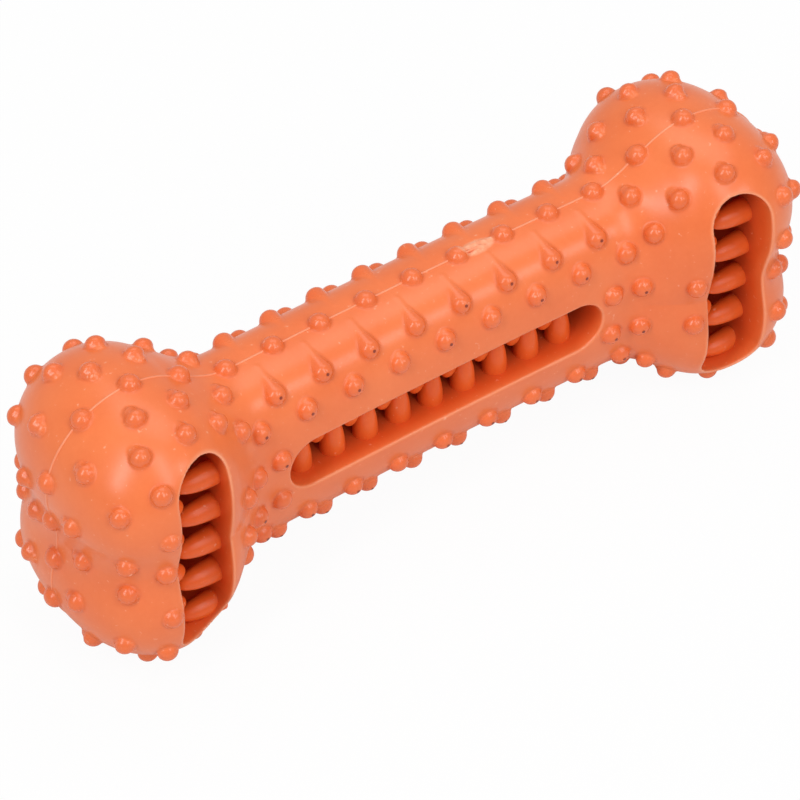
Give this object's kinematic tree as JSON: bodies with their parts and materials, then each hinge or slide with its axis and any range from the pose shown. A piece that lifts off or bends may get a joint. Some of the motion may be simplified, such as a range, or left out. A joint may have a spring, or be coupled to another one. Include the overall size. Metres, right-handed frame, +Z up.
{
  "type": "rubber chew toy",
  "caption": "Bone-shaped rubber chew toy for dogs, with two-lobed ends, nubs all over and toothed slots that clean the teeth and hold treats or paste.",
  "frame": {"origin": "on the floor, under the middle of the shaft", "axes": "X along the bone, -Y the front that the slots face, Z up; the bone stands on its lower lobes"},
  "size_m": [0.1744, 0.0514, 0.0636],
  "materials": {
    "skin_rubber": "matt moulded natural rubber, orange",
    "tooth_rubber": "matt moulded natural rubber, deeper orange inside the slots"
  },
  "bodies": {
    "root": {"shaft_front": "skin_rubber", "shaft_back": "skin_rubber", "left_knob_front": "skin_rubber", "left_knob_back": "skin_rubber", "right_knob_front": "skin_rubber", "right_knob_back": "skin_rubber", "seam_nubs": "skin_rubber", "shaft_front_nubs": "skin_rubber", "shaft_back_nubs": "skin_rubber", "left_knob_front_nubs": "skin_rubber", "left_knob_back_nubs": "skin_rubber", "right_knob_front_nubs": "skin_rubber", "right_knob_back_nubs": "skin_rubber", "rest_nubs": "skin_rubber", "shaft_lower_teeth": "tooth_rubber", "shaft_upper_teeth": "tooth_rubber", "left_knob_inner_teeth": "tooth_rubber", "left_knob_outer_teeth": "tooth_rubber", "right_knob_inner_teeth": "tooth_rubber", "right_knob_outer_teeth": "tooth_rubber"}
  },
  "joints": []
}
